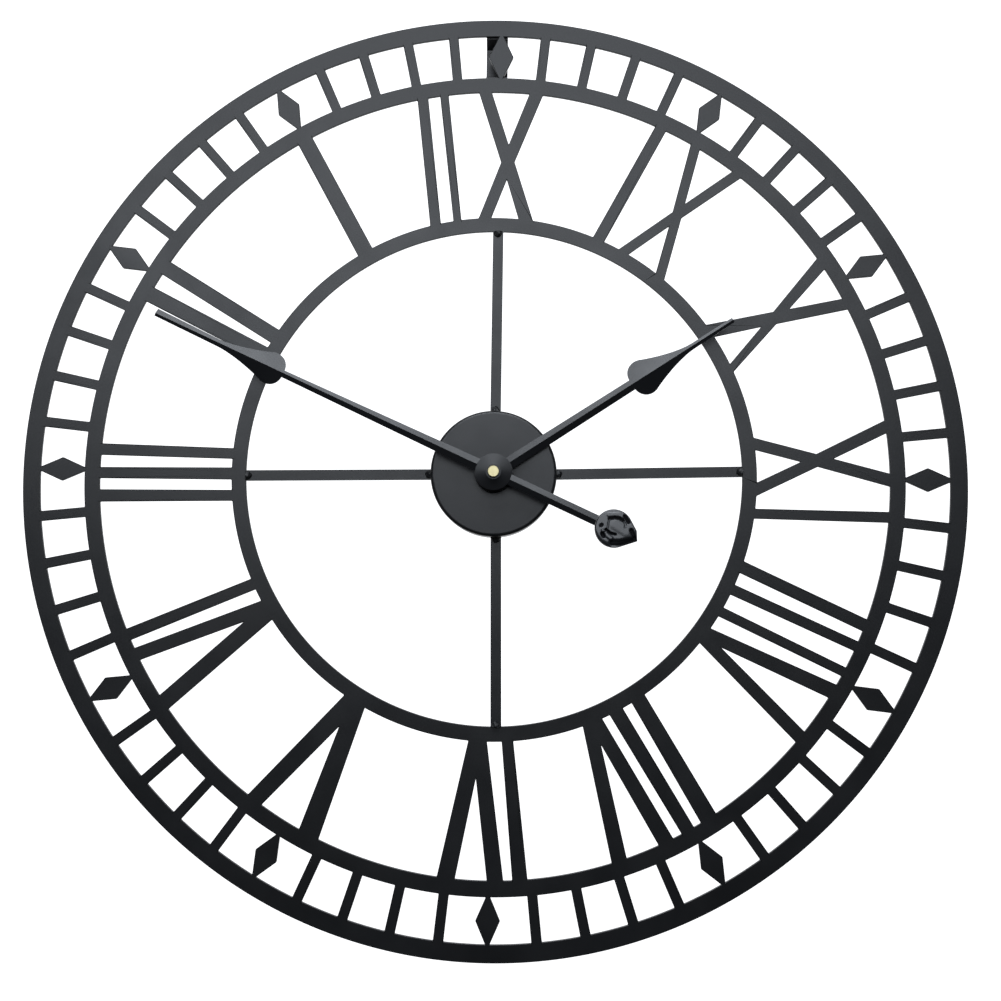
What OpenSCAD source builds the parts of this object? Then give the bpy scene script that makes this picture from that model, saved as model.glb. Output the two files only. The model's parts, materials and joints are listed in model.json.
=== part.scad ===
// Skeleton wall clock: a flat steel dial, a pressed centre cup, a quartz movement and two folded hands.
//
// Every piece is drawn in dial coordinates: x to the right, y up and z towards the room, with z = 0
// at the wall and the hand axis at x = y = 0. on_wall() then stands the drawing upright and moves the
// origin to the nail hole in the hanger plate.

/* [Dial] */
// Outside radius of the dial
dial_r = 300; // [297:1:303]
// Width of the outer ring
outer_ring_w = 11.1; // [9:0.1:12]
// Outside radius of the minute track's ring
track_ring_r = 260.8; // [259:0.1:262]
// Width of the minute track's ring
track_ring_w = 9.9; // [9:0.1:11]
// Outside radius of the inner ring
inner_ring_r = 166.9; // [165:0.1:168]
// Width of the inner ring
inner_ring_w = 9.4; // [8:0.1:11]
// Thickness of the steel sheet
sheet_t = 2; // [1.5:0.1:3]
// Distance from the wall to the back of the sheet
sheet_gap = 16; // [15.5:0.1:16.5]
// Width of one minute bar
bar_w = 6.5; // [4:0.1:8]
// Width of one hour diamond
diamond_w = 15.2; // [12:0.1:17]
// Width of the diamond at twelve
top_diamond_w = 16.3; // [12:0.1:17]
// How far the diamond at twelve sits to the right
top_diamond_shift = 1.2; // [0:0.1:2]

/* [Centre] */
// Outside radius of the centre cup
cup_r = 39.8; // [39.6:0.1:41]
// Distance from the wall to the cup's front face
cup_front = 27; // [27]
// Thickness of the cup's pressed steel
cup_t = 1; // [1]
// Radius of the cup's rounded front edge
cup_edge_r = 2.2; // [1.5:0.1:3]
// Width of one spoke, a flat bar
spoke_w = 6.7; // [5:0.1:7.5]
// Thickness of one spoke
spoke_t = 3; // [2.5:0.1:4]
// Height of a weld bead in front of its spoke
weld_h = 2.4; // [1.5:0.1:3]
// Length of a weld bead along its spoke
weld_l = 3.6; // [2:0.1:5]

/* [Hanger] */
// Height of the nail hole above the hand axis
hang_r = 275; // [272:0.5:278]
// Width of the hanger plate
hanger_w = 14; // [12:0.5:16]
// How far the hanger plate sits to the left of the nail hole
hanger_shift = 1.5; // [0:0.1:2]
// Thickness of the hanger plate
hanger_t = 1.5; // [1:0.1:2]
// Distance from the wall to the back of the hanger plate
hanger_gap = 6; // [4:0.5:8]
// Radius of the nail hole
nail_r = 3; // [2.5:0.1:3.5]

/* [Hands] */
// Direction of the minute hand, anticlockwise from three o'clock
minute_angle = 155.5; // [0:0.05:360]
// Length of the minute hand from the axis to its tip
minute_l = 234.5; // [225:0.5:240]
// Distance from the axis to the widest place of the minute hand's spade
minute_spade_x = 154.2; // [150:0.1:160]
// Radius of the two rounds of the minute hand's spade
minute_spade_r = 9.2; // [8:0.1:10]
// Distance from the minute hand's crease to the middle of its anticlockwise round
minute_spade_high = 1.3; // [0.5:0.1:3]
// Distance from the minute hand's crease to the middle of its clockwise round
minute_spade_low = 0.8; // [0.5:0.1:3]
// Direction of the hour hand, anticlockwise from three o'clock
hour_angle = 33.35; // [0:0.05:360]
// Length of the hour hand from the axis to its tip
hour_l = 179; // [170:0.5:185]
// Distance from the axis to the widest place of the hour hand's spade
hour_spade_x = 112.3; // [105:0.1:115]
// Radius of the two rounds of the hour hand's spade
hour_spade_r = 9.2; // [8:0.1:10]
// Distance from the hour hand's crease to the middle of its anticlockwise round
hour_spade_high = 2.4; // [0.5:0.1:3]
// Distance from the hour hand's crease to the middle of its clockwise round
hour_spade_low = 2.2; // [0.5:0.1:3]
// Slope of each side of a folded hand
fold_angle = 22; // [15:0.5:24]
// Thickness of a hand's sheet
hand_t = 0.65; // [0.5:0.05:0.8]
// Distance from the axis to the middle of the tail's medallion
medallion_x = 82; // [75:0.5:90]
// Radius of the medallion's round part
medallion_r = 12; // [11:0.1:12.5]
// Distance from the medallion's middle to its point
medallion_point = 16.6; // [15:0.1:18]

/* [Movement] */
// Width and height of the movement's case
case_w = 56; // [56]
// Radius of the case's corners
case_corner_r = 3.5; // [3.5:0.1:3.6]
// Thickness of the case's side walls
case_wall = 1; // [1]
// Radius of the threaded bushing
bushing_r = 4; // [4]
// Radius of the battery
battery_r = 7.25; // [7.25]

/* [Hidden] */
$fn = 96;

// Colours
satin_black = "#26272b";
folded_black = "#3a3c42";
brass = "#dccb8b";
bright_steel = "#b9bcc0";
black_plastic = "#1d1e20";
white_plastic = "#e8e6df";
board_green = "#2f6b45";
copper = "#b4683a";
black_rubber = "#151515";

// A small overlap that lets one cut run clean through the next face
cut = 1;

// Depths of the dial and the hub
outer_ring_in = dial_r - outer_ring_w;
track_ring_in = track_ring_r - track_ring_w;
inner_ring_in = inner_ring_r - inner_ring_w;
sheet_mid = sheet_gap + sheet_t / 2;
sheet_front = sheet_gap + sheet_t;

// Depths inside the movement, from its back to its front
cover_back = 9;
case_back = 10.5;
case_inner_front = 23.5;
case_front = 25;
cup_inner_front = cup_front - cup_t;
case_in = case_w / 2 - case_wall;

// The back and the front of each gear
hour_gear = [21.8, 22.8];
cannon_gear = [19.4, 21.2];
minute_gear = [19.6, 20.6];
minute_pinion = [20.4, 22.9];
setting_gear = [19.4, 20.8];
centre_gear = [17.6, 18.4];
third_gear = [14.4, 15.2];
third_pinion = [17.2, 18.8];
second_gear = [12.4, 13.2];
second_pinion = [13.9, 15.5];
fifth_gear = [11.2, 11.8];
fifth_pinion = [12.1, 13.5];
rotor_pinion = [11, 12];

// The battery bay's ceiling
bay_top = -11.1;
bay_wall = 0.8;

// Depths of the hands
hour_hub_back = 30.8;
hour_hub_rim = 32.8;
hour_hub_front = 34.2;
hour_hub_r = 12;
hour_ridge = 33;
minute_hub_back = 35.4;
minute_hub_rim = 38.4;
minute_hub_front = 40.2;
minute_hub_r = 11.3;
minute_ridge = 39;
nut_front = 44;
nut_r = 3.5;
nut_seat_r = 4.6;
nut_cap = 1;

// Shafts and bores
shaft_r = 1.7;
shaft_back = 17;
pivot_in_shaft = 1.1;
thread_r = 1.4;
pipe_r = 2.5;
pipe_bore_r = 1.8;
run_gap = 0.05;
pivot_r = 0.4;
pivot_l = 0.8;
arbor_r = 0.6;

// Teeth of the hands' wheels: the minute shaft drives the minute wheel, and that the hour wheel
cannon_teeth = 12;
minute_teeth = 36;
minute_leaves = 10;
hour_teeth = 40;
setting_teeth = 18;
motion_mod = 5 / 12;
hour_mod = 0.4;

// Teeth of the motor's train: the rotor drives the fifth wheel, then second, third and centre wheel
rotor_leaves = 10;
fifth_teeth = 60;
fifth_leaves = 12;
second_teeth = 60;
second_leaves = 8;
third_teeth = 60;
third_leaves = 8;
centre_teeth = 64;
centre_mod = 0.32;
third_mod = centre_mod * (centre_teeth + third_leaves) / (third_teeth + second_leaves);
second_mod = 0.25;
fifth_mod = 0.2;

// Where each arbor stands: a distance and a direction from the one before it
function polar(r, a) = [r * cos(a), r * sin(a)];
function spacing(teeth_a, teeth_b, mod) = (teeth_a + teeth_b) * mod / 2;

minute_dir = 180;
minute_at = polar(spacing(cannon_teeth, minute_teeth, motion_mod), minute_dir);
setting_dir = 160;
setting_at = minute_at + polar(spacing(minute_teeth, setting_teeth, motion_mod), setting_dir);
third_dir = 90;
third_at = polar(spacing(centre_teeth, third_leaves, centre_mod), third_dir);
fifth_dir = 20;
fifth_at = polar(spacing(second_teeth, fifth_leaves, second_mod), fifth_dir);
rotor_dir = 0;
rotor_at = fifth_at + polar(spacing(fifth_teeth, rotor_leaves, fifth_mod), rotor_dir);

// The angle of wheel b's first tooth that puts a gap of b over a tooth of a, along direction dir
function meshed(phase_a, teeth_a, dir, teeth_b) =
  dir + 180 - (0.5 - (dir - phase_a) * teeth_a / 360) * 360 / teeth_b;

minute_phase = meshed(0, cannon_teeth, minute_dir, minute_teeth);
hour_phase = meshed(0, minute_leaves, minute_dir + 180, hour_teeth);
setting_phase = meshed(minute_phase, minute_teeth, setting_dir, setting_teeth);
third_leaf_phase = meshed(0, centre_teeth, third_dir, third_leaves);
third_phase = meshed(0, second_leaves, third_dir, third_teeth);
fifth_leaf_phase = meshed(0, second_teeth, fifth_dir, fifth_leaves);
rotor_phase = meshed(0, fifth_teeth, rotor_dir, rotor_leaves);

// Strokes of the numerals, each [foot x, head x, foot width, head width]: the foot stands on the
// inner ring, the head reaches the minute track's ring, and x runs clockwise along the dial
strokes_xii = [[-40.7, -50.1, 7.2, 7.2], [-26.1, -35.9, 5.4, 5.7], [-8.7, 25.5, 8.2, 9.2], [19, -9.3, 9.2, 8.4]];
strokes_xi = [[-19.9, -22, 8, 7.7], [-2.6, 37.5, 7.3, 7.4], [26.9, 2.8, 6.8, 6.9]];
strokes_x = [[-13.3, 15.2, 9.4, 7.9], [15.4, -16.6, 5.5, 9]];
strokes_ix = [[-22, 0.9, 7.8, 8.4], [8.2, -35.5, 8.6, 8.9], [23, 23.8, 6.5, 6.9]];
strokes_viii = [[-30, -37.5, 8, 8.1], [-14.4, -23.4, 7.1, 6.7], [1.6, -5.6, 6.6, 6.2],
                [17.8, 8.2, 8, 9.7], [21.5, 44.4, 7.8, 8.9]];
strokes_vii = [[-10.2, -11.7, 9.9, 11.1], [5.9, 3, 9.5, 8.8], [20, 18.1, 8.7, 10], [24.6, 50.8, 8.8, 10.3]];
strokes_vi = [[-10.8, -19.6, 7.4, 9.6], [6.8, -4.4, 9.2, 10.2], [8.7, 26.7, 9.5, 11.5]];
strokes_v = [[0, -16.2, 10.6, 13.8], [3.4, 24.5, 11.8, 10.9]];
strokes_iv = [[-6.3, -24.3, 10.8, 10.5], [-2.6, 11, 8.8, 8.5], [13.6, 24.4, 7.6, 7.8]];
strokes_iii = [[-15.6, -16.5, 7.1, 7.9], [-1.5, -2, 7.9, 7.1], [11.4, 13, 7, 7.4]];
strokes_ii = [[-8.5, -13.2, 9.6, 10.4], [4.7, 6.8, 10.1, 9.7]];
strokes_i = [[-2.1, -0.7, 10.8, 10.4]];

module on_wall() {
  translate([0, hanger_gap, -hang_r]) rotate([90, 0, 0]) children();
}

// Stands a flat outline up from depth z to depth z + t
module slab(z, t) {
  translate([0, 0, z]) linear_extrude(t) children();
}

// A turned piece, with its outline drawn as [radius, depth]
module turned(points) {
  rotate_extrude() polygon(points);
}

module rod(r, from, to) {
  translate([0, 0, from]) cylinder(r = r, h = to - from);
}

module band(r_out, r_in) {
  difference() {
    circle(r_out);
    circle(r_in);
  }
}

// A rectangle with round corners, centred
module round_rect(w, h, r) {
  square([w, h - 2 * r], center = true);
  square([w - 2 * r, h], center = true);
  for (x = [-1, 1], y = [-1, 1])
    translate([x * (w / 2 - r), y * (h / 2 - r)]) circle(r);
}

// Dial ----------------------------------------------------------------------------------------

module outer_ring() {
  color(satin_black) on_wall() slab(sheet_gap, sheet_t) band(dial_r, outer_ring_in);
}

module minute_track_ring() {
  color(satin_black) on_wall() slab(sheet_gap, sheet_t) band(track_ring_r, track_ring_in);
}

module inner_ring() {
  color(satin_black) on_wall() slab(sheet_gap, sheet_t) band(inner_ring_r, inner_ring_in);
}

module minute_bars() {
  color(satin_black) on_wall() slab(sheet_gap, sheet_t) intersection() {
    band(outer_ring_in, track_ring_r);
    for (i = [0:59])
      if (i % 5 != 0)
        rotate(i * 6) translate([track_ring_r - cut, -bar_w / 2])
          square([outer_ring_in - track_ring_r + 2 * cut, bar_w]);
  }
}

// A rhombus whose tips run just into both rings
module hour_diamonds() {
  middle_r = (outer_ring_in + track_ring_r) / 2;
  color(satin_black) on_wall() slab(sheet_gap, sheet_t) intersection() {
    band(outer_ring_in, track_ring_r);
    for (hour = [0:11]) {
      w = hour == 0 ? top_diamond_w : diamond_w;
      shift = hour == 0 ? top_diamond_shift : 0;
      rotate(-30 * hour) translate([shift, 0])
        polygon([
          [0, track_ring_r - cut], [w / 2, middle_r],
          [0, outer_ring_in + cut], [-w / 2, middle_r],
        ]);
    }
  }
}

// One straight stroke, drawn longer than the band that trims it
module stroke(foot_x, head_x, foot_w, head_w) {
  reach = 10;
  height = track_ring_in - inner_ring_r;
  lean = (head_x - foot_x) / height * reach;
  swell = (head_w - foot_w) / height * reach / 2;
  polygon([
    [foot_x - lean - foot_w / 2 + swell, inner_ring_r - reach],
    [foot_x - lean + foot_w / 2 - swell, inner_ring_r - reach],
    [head_x + lean + head_w / 2 + swell, track_ring_in + reach],
    [head_x + lean - head_w / 2 - swell, track_ring_in + reach],
  ]);
}

// A numeral at place number hour, counted clockwise from the top
module numeral(strokes, hour) {
  color(satin_black) on_wall() slab(sheet_gap, sheet_t) intersection() {
    band(track_ring_in, inner_ring_r);
    rotate(-30 * hour)
      for (s = strokes)
        stroke(s[0], s[1], s[2], s[3]);
  }
}

// Keeps what lies between the cup and the inner ring
module between_cup_and_ring() {
  difference() {
    intersection() {
      children();
      cylinder(r = inner_ring_in, h = 2 * cup_front);
    }
    translate([0, 0, -cut]) cylinder(r = cup_r, h = 2 * cup_front + 2 * cut);
  }
}

// The spokes, welded in by hand and a little askew: each [direction, how far it sits anticlockwise
// of that direction at the cup, and the same at the inner ring]
spoke_places = [[0, 0.5, 3.7], [90, -0.7, -0.8], [180, 0.6, 2.7], [270, 1.9, 3.5]];

// A spoke's sideways place at distance x from the axis
function askew(place, x) =
  place[1] + (place[2] - place[1]) * (x - cup_r) / (inner_ring_in - cup_r);

module spokes() {
  color(satin_black) on_wall() between_cup_and_ring()
    for (p = spoke_places)
      rotate(p[0]) slab(sheet_mid - spoke_t / 2, spoke_t) {
        low = cup_r - 2;
        high = inner_ring_in + 2;
        polygon([
          [low, askew(p, low) - spoke_w / 2], [high, askew(p, high) - spoke_w / 2],
          [high, askew(p, high) + spoke_w / 2], [low, askew(p, low) + spoke_w / 2],
        ]);
      }
}

// A wedge of weld on the front of a spoke, with its flat back against the cup or the inner ring
weld_w = spoke_w - 1;

module weld_wedge(length) {
  translate([0, weld_w / 2, sheet_mid + spoke_t / 2]) rotate([90, 0, 0]) linear_extrude(weld_w)
    polygon([[0, 0], [length, 0], [0, weld_h]]);
}

// How far out a flat end stands that just touches the inner ring with its farther corner
function flat_end(y) = sqrt(pow(inner_ring_in, 2) - pow(abs(y) + weld_w / 2, 2));

module weld_beads() {
  color(satin_black) on_wall()
    for (p = spoke_places)
      rotate(p[0]) {
        ring_y = askew(p, inner_ring_in);
        translate([cup_r, askew(p, cup_r), 0]) weld_wedge(weld_l);
        translate([flat_end(ring_y), ring_y, 0]) weld_wedge(-weld_l);
      }
}

// Half of the cup's section, filled
module cup_outline(r, h, edge_r) {
  square([r - edge_r, h]);
  square([r, h - edge_r]);
  translate([r - edge_r, h - edge_r]) circle(edge_r);
}

module centre_cup() {
  color(satin_black) on_wall() rotate_extrude() difference() {
    cup_outline(cup_r, cup_front, cup_edge_r);
    translate([0, -cut])
      cup_outline(cup_r - cup_t, cup_inner_front + cut, cup_edge_r - cup_t);
    square([bushing_r + 0.1, cup_front + cut]);
  }
}

// A strap bent back towards the wall between its two feet, which are welded to the rings' backs
module hanger_plate() {
  foot_back = sheet_gap - hanger_t;
  slope = 4;
  low = hang_r - 10;
  high = hang_r + 10;
  color(satin_black) on_wall() difference() {
    translate([-hanger_w / 2 - hanger_shift, 0, 0]) rotate([90, 0, 90]) linear_extrude(hanger_w)
      polygon([
        [track_ring_in + 1, foot_back], [low - slope, foot_back], [low, hanger_gap],
        [high, hanger_gap], [high + slope, foot_back], [dial_r - 1, foot_back],
        [dial_r - 1, sheet_gap], [high + slope - 1, sheet_gap], [high - 1, hanger_gap + hanger_t],
        [low + 1, hanger_gap + hanger_t], [low - slope + 1, sheet_gap], [track_ring_in + 1, sheet_gap],
      ]);
    translate([0, hang_r, 0]) rod(nail_r, hanger_gap - cut, hanger_gap + hanger_t + cut);
  }
}

// Movement ------------------------------------------------------------------------------------

// A wheel's toothed outline, with its first tooth at angle phase
function gear_points(teeth, mod, phase) =
  let (
    root = teeth * mod / 2 - 1.15 * mod,
    tip = teeth * mod / 2 + 0.9 * mod,
    step = 360 / teeth,
    wide = 0.27,
    narrow = 0.1
  )
  [for (i = [0:teeth - 1])
    each [
      polar(root, phase + (i - wide) * step), polar(tip, phase + (i - narrow) * step),
      polar(tip, phase + (i + narrow) * step), polar(root, phase + (i + wide) * step),
    ]];

// A gear that lies between the two depths in place
module gear(teeth, mod, phase, place) {
  slab(place[0], place[1] - place[0]) polygon(gear_points(teeth, mod, phase));
}

post_at = [[-12, -9.7], [17, -9.7], [-11, 21]];
post_r = 1.2;
plate_back = 16;
plate_front = 16.8;
minute_post_r = 0.75;

module movement_case() {
  height = case_front - case_back;
  color(black_plastic) on_wall() {
    difference() {
      slab(case_back, height) round_rect(case_w, case_w, case_corner_r);
      slab(case_back - cut, case_inner_front - case_back + cut)
        round_rect(2 * case_in, 2 * case_in, case_corner_r - case_wall);
      rod(bushing_r, case_inner_front - cut, case_front + cut);
      translate(third_at) rod(pivot_r + run_gap, case_inner_front - cut, case_inner_front + pivot_l + 0.1);
      translate(setting_at) rod(arbor_r + run_gap, case_inner_front - cut, case_inner_front + pivot_l + 0.1);
    }
    slab(case_back, case_inner_front - case_back)
      translate([-case_in, bay_top - bay_wall]) square([2 * case_in, bay_wall]);
    for (p = post_at)
      translate(p) rod(post_r, plate_front, case_inner_front);
    translate(minute_at) rod(minute_post_r, minute_gear[0] - 0.4, case_inner_front);
  }
}

module back_cover() {
  color(black_plastic) on_wall() difference() {
    slab(cover_back, case_back - cover_back) intersection() {
      round_rect(case_w, case_w, case_corner_r);
      translate([-case_w / 2, bay_top - bay_wall])
        square([case_w, case_w / 2 - bay_top + bay_wall]);
    }
    for (p = [[0, 0], third_at, fifth_at, rotor_at])
      translate(p) rod(pivot_r + run_gap, case_back - pivot_l - 0.1, case_back + cut);
    translate(setting_at) rod(arbor_r * 2 + run_gap, cover_back - cut, case_back + cut);
  }
}

// The plate that carries the front pivots of the fast wheels
module middle_plate() {
  color(white_plastic) on_wall() difference() {
    slab(plate_back, plate_front - plate_back) {
      translate([-13.5, -11]) square([33, 24]);
      translate([-13.5, 12]) square([17.5, 11]);
    }
    rod(1, plate_back - cut, plate_front + cut);
    translate(third_at) rod(arbor_r + run_gap, plate_back - cut, plate_front + cut);
    for (p = [fifth_at, rotor_at])
      translate(p) rod(pivot_r + run_gap, plate_back - cut, plate_front + cut);
  }
}

bushing_front = 30.5;

module threaded_bushing() {
  color(brass) on_wall()
    turned([
      [pipe_r + run_gap, case_inner_front], [bushing_r, case_inner_front],
      [bushing_r, bushing_front], [pipe_r + run_gap, bushing_front],
    ]);
}

module rubber_washer() {
  color(black_rubber) on_wall() slab(case_front, cup_inner_front - case_front)
    band(10, bushing_r + 0.1);
}

module hex_nut() {
  across_flats = 12;
  color(brass) on_wall() difference() {
    translate([0, 0, cup_front]) cylinder(d = across_flats / cos(30), h = 2.4, $fn = 6);
    rod(bushing_r, cup_front - cut, bushing_front);
  }
}

// The wheel that turns the hour hand, with the pipe that carries it
module hour_wheel() {
  color(white_plastic) on_wall() difference() {
    union() {
      gear(hour_teeth, hour_mod, hour_phase, hour_gear);
      rod(pipe_r, hour_gear[0], hour_hub_front);
    }
    rod(pipe_bore_r, hour_gear[0] - cut, hour_hub_front + cut);
  }
}

// The shaft that carries the minute hand, with its pinion and the bore for the second wheel's pivot
module minute_shaft() {
  color(bright_steel) on_wall() difference() {
    union() {
      rod(shaft_r, shaft_back, minute_hub_front);
      rod(thread_r, minute_hub_front - cut, nut_front - nut_cap);
      gear(cannon_teeth, motion_mod, 0, cannon_gear);
    }
    rod(pivot_r + run_gap, shaft_back - cut, shaft_back + pivot_in_shaft + 0.1);
  }
}

module minute_wheel() {
  color(white_plastic) on_wall() translate(minute_at) difference() {
    union() {
      gear(minute_teeth, motion_mod, minute_phase, minute_gear);
      gear(minute_leaves, hour_mod, 0, minute_pinion);
    }
    rod(minute_post_r + run_gap, minute_gear[0] - cut, minute_pinion[1] + cut);
  }
}

// The knob on the back, its shaft and the gear that moves the minute wheel
module setting_knob() {
  knob_back = 4.5;
  knob_front = 8.6;
  knob_r = 6;
  ribs = 24;
  color(white_plastic) on_wall() translate(setting_at) {
    slab(knob_back, knob_front - knob_back) difference() {
      circle(knob_r);
      for (i = [0:ribs - 1])
        rotate(i * 360 / ribs) translate([knob_r, 0]) circle(0.35, $fn = 6);
    }
    rod(arbor_r * 2, knob_front - cut, case_inner_front - 0.3);
    rod(arbor_r, case_inner_front - cut, case_inner_front + pivot_l);
    gear(setting_teeth, motion_mod, setting_phase, setting_gear);
  }
}

// The wheel that turns once an hour and slips on the minute shaft when the hands are set
module centre_wheel() {
  color(white_plastic) on_wall() difference() {
    gear(centre_teeth, centre_mod, 0, centre_gear);
    rod(shaft_r + run_gap, centre_gear[0] - cut, centre_gear[1] + cut);
  }
}

module third_wheel() {
  color(white_plastic) on_wall() translate(third_at) {
    rod(arbor_r, case_back + 0.1, case_inner_front - 0.1);
    rod(pivot_r, case_back - pivot_l, case_inner_front + pivot_l);
    gear(third_teeth, third_mod, third_phase, third_gear);
    gear(third_leaves, centre_mod, third_leaf_phase, third_pinion);
  }
}

module second_wheel() {
  color(white_plastic) on_wall() {
    rod(arbor_r, case_back + 0.1, shaft_back - 0.1);
    rod(pivot_r, case_back - pivot_l, shaft_back + pivot_in_shaft);
    gear(second_teeth, second_mod, 0, second_gear);
    gear(second_leaves, third_mod, 0, second_pinion);
  }
}

module fifth_wheel() {
  color(white_plastic) on_wall() translate(fifth_at) {
    rod(arbor_r, case_back + 0.1, plate_back - 0.1);
    rod(pivot_r, case_back - pivot_l, plate_front);
    gear(fifth_teeth, fifth_mod, 0, fifth_gear);
    gear(fifth_leaves, second_mod, fifth_leaf_phase, fifth_pinion);
  }
}

magnet_back = 12.9;
magnet_front = 15.1;

module rotor() {
  color(bright_steel) on_wall() translate(rotor_at) {
    rod(pivot_r, case_back - pivot_l, plate_front);
    gear(rotor_leaves, fifth_mod, rotor_phase, rotor_pinion);
  }
}

module rotor_magnet() {
  color("#4a4c50") on_wall() translate(rotor_at) difference() {
    rod(1.6, magnet_back, magnet_front);
    rod(pivot_r, magnet_back - cut, magnet_front + cut);
  }
}

stator_back = 13.6;
stator_t = 0.8;
stator_left = 11.5;
stator_right = 26.2;
stator_leg_w = 2.5;
coil_y = 17;
core_mid = stator_back + stator_t * 1.5;

module stator() {
  color(bright_steel) on_wall() slab(stator_back, stator_t) difference() {
    union() {
      translate([stator_left, -1]) square([stator_right - stator_left, 8.2]);
      for (x = [stator_left, stator_right - stator_leg_w])
        translate([x, 0]) square([stator_leg_w, coil_y + 1.6]);
    }
    translate(rotor_at) circle(2.1);
  }
}

core_w = 2.4;

module coil_core() {
  color(bright_steel) on_wall() slab(stator_back + stator_t, stator_t)
    translate([stator_left, coil_y - core_w / 2]) square([stator_right - stator_left, core_w]);
}

// Puts a turned piece along the coil's axis
module along_coil() {
  translate([stator_left + stator_leg_w + 0.3, coil_y, core_mid]) rotate([0, 90, 0]) children();
}

bobbin_l = stator_right - stator_left - 2 * stator_leg_w - 0.6;
bobbin_r = 1.9;
flange_t = 0.6;

module coil_bobbin() {
  flange_r = 3.3;
  color(black_plastic) on_wall() difference() {
    along_coil()
      turned([
        [0, 0], [flange_r, 0], [flange_r, flange_t], [bobbin_r, flange_t],
        [bobbin_r, bobbin_l - flange_t], [flange_r, bobbin_l - flange_t], [flange_r, bobbin_l], [0, bobbin_l],
      ]);
    slab(stator_back + stator_t, stator_t)
      translate([stator_left, coil_y - core_w / 2]) square([stator_right - stator_left, core_w]);
  }
}

module coil_winding() {
  color(copper) on_wall() along_coil() slab(flange_t, bobbin_l - 2 * flange_t) band(3, bobbin_r);
}

board_back = 12;
board_t = 1;

module circuit_board() {
  color(board_green) on_wall() slab(board_back, board_t) translate([-25.5, 10.5]) square([13.5, 14.5]);
}

module driver_chip() {
  color(black_plastic) on_wall() slab(board_back + board_t, 1.1) translate([-18, 18]) square([4, 5]);
}

module quartz_crystal() {
  crystal_r = 1;
  color(bright_steel) on_wall()
    translate([-24.5, 13, board_back + board_t + crystal_r]) rotate([0, 90, 0])
      cylinder(r = crystal_r, h = 6);
}

battery_y = -19.5;
battery_z = 15.85;

module battery() {
  color("#3b4a58") on_wall() translate([0, battery_y, battery_z]) rotate([0, 90, 0]) {
    rod(battery_r, -24.9, 24.6);
    rod(2.75, 24.6, 25.6);
  }
}

// A plate against the bay's wall with a pressed button towards the battery
module battery_contact_plus() {
  color(bright_steel) on_wall() {
    translate([case_in - 0.5, battery_y - 4, battery_z - 4]) cube([0.5, 8, 8]);
    translate([case_in - 1.1, battery_y, battery_z]) rotate([0, 90, 0]) cylinder(r = 2, h = 0.7);
  }
}

// A plate against the bay's wall with a bowed leaf towards the battery
module battery_contact_minus() {
  color(bright_steel) on_wall() translate([-case_in, battery_y, battery_z - 3]) linear_extrude(6)
    polygon([[0, -5], [0.5, -5], [1.7, -0.6], [1.7, 0.6], [0.5, 5], [0, 5], [0, 4.5], [1.4, 0], [0, -4.5]]);
}

// Hands ---------------------------------------------------------------------------------------

// The width of a spade narrows towards the tip along this curve
taper_power = 1.6;
taper_steps = 10;
spade_reach = 36;

// The hands are cut by hand, so their two edges differ. Each pair of distances from the crease is
// [anticlockwise edge, clockwise edge].
function spade_edge(x_wide, half_wide, x_end, half_end) =
  [for (i = [0:taper_steps])
    let (t = i / taper_steps)
    [x_wide + (x_end - x_wide) * t, half_end + (half_wide - half_end) * pow(1 - t, taper_power)]];

// A bar that narrows evenly from the pair at x0 to the pair at x1
module tapered_bar(x0, pair0, x1, pair1) {
  polygon([[x0, -pair0[1]], [x1, -pair1[1]], [x1, pair1[0]], [x0, pair0[0]]]);
}

// Two rounds side by side, each off the crease by one of the pair offs, and the curved neck and
// the long point before them
module spade(x, r, offs, neck, tip_x, tip) {
  lean = 60;
  x_edge = x + r * cos(lean);
  x_end = x + spade_reach;
  high = spade_edge(x_edge, offs[0] + r * sin(lean), x_end, neck[0]);
  low = spade_edge(x_edge, offs[1] + r * sin(lean), x_end, neck[1]);
  translate([x, offs[0]]) circle(r);
  translate([x, -offs[1]]) circle(r);
  polygon(concat([[x, -offs[1] - r / 2]], [for (p = low) [p[0], -p[1]]],
    [[tip_x, -tip[1]], [tip_x, tip[0]]],
    [for (i = [taper_steps:-1:0]) high[i]], [[x, offs[0] + r / 2]]));
}

module hour_outline() {
  tapered_bar(0, [3.8, 4.3], hour_spade_x, [3.1, 3.7]);
  spade(hour_spade_x, hour_spade_r, [hour_spade_high, hour_spade_low], [1.6, 2.2],
    hour_l, [1.5, 1.7]);
}

module minute_outline() {
  tapered_bar(0, [4, 4], minute_spade_x, [2.7, 1.7]);
  spade(minute_spade_x, minute_spade_r, [minute_spade_high, minute_spade_low], [2.5, 2.1],
    minute_l, [1.8, 3.2]);
}

module tail_outline() {
  tail_w = 6.8;
  translate([-medallion_x, -tail_w / 2]) square([medallion_x, tail_w]);
}

// A sheet folded along the hand's centre line, from x_low to x_high, with its crease at depth ridge
module folded_sheet(x_low, x_high, ridge) {
  half = 15;
  drop = half * tan(fold_angle);
  thick = hand_t / cos(fold_angle);
  translate([x_low, 0, ridge]) rotate([90, 0, 90]) linear_extrude(x_high - x_low)
    polygon([
      [0, 0], [-half, -drop], [-half, -drop - thick], [0, -thick], [half, -drop - thick], [half, -drop],
    ]);
}

// The prism that an outline cuts out of a folded sheet
module cut_out() {
  slab(hour_hub_back - 8, nut_front) children();
}

// A boss that slopes from its flat seat down to its rim
module hub(bore_r, seat_r, r, back, rim, front) {
  turned([[bore_r, back], [r, back], [r, rim], [seat_r, front], [bore_r, front]]);
}

module hour_hub() {
  seat_r = 6;
  color(folded_black) on_wall()
    hub(pipe_r, seat_r, hour_hub_r, hour_hub_back, hour_hub_rim, hour_hub_front);
}

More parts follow.
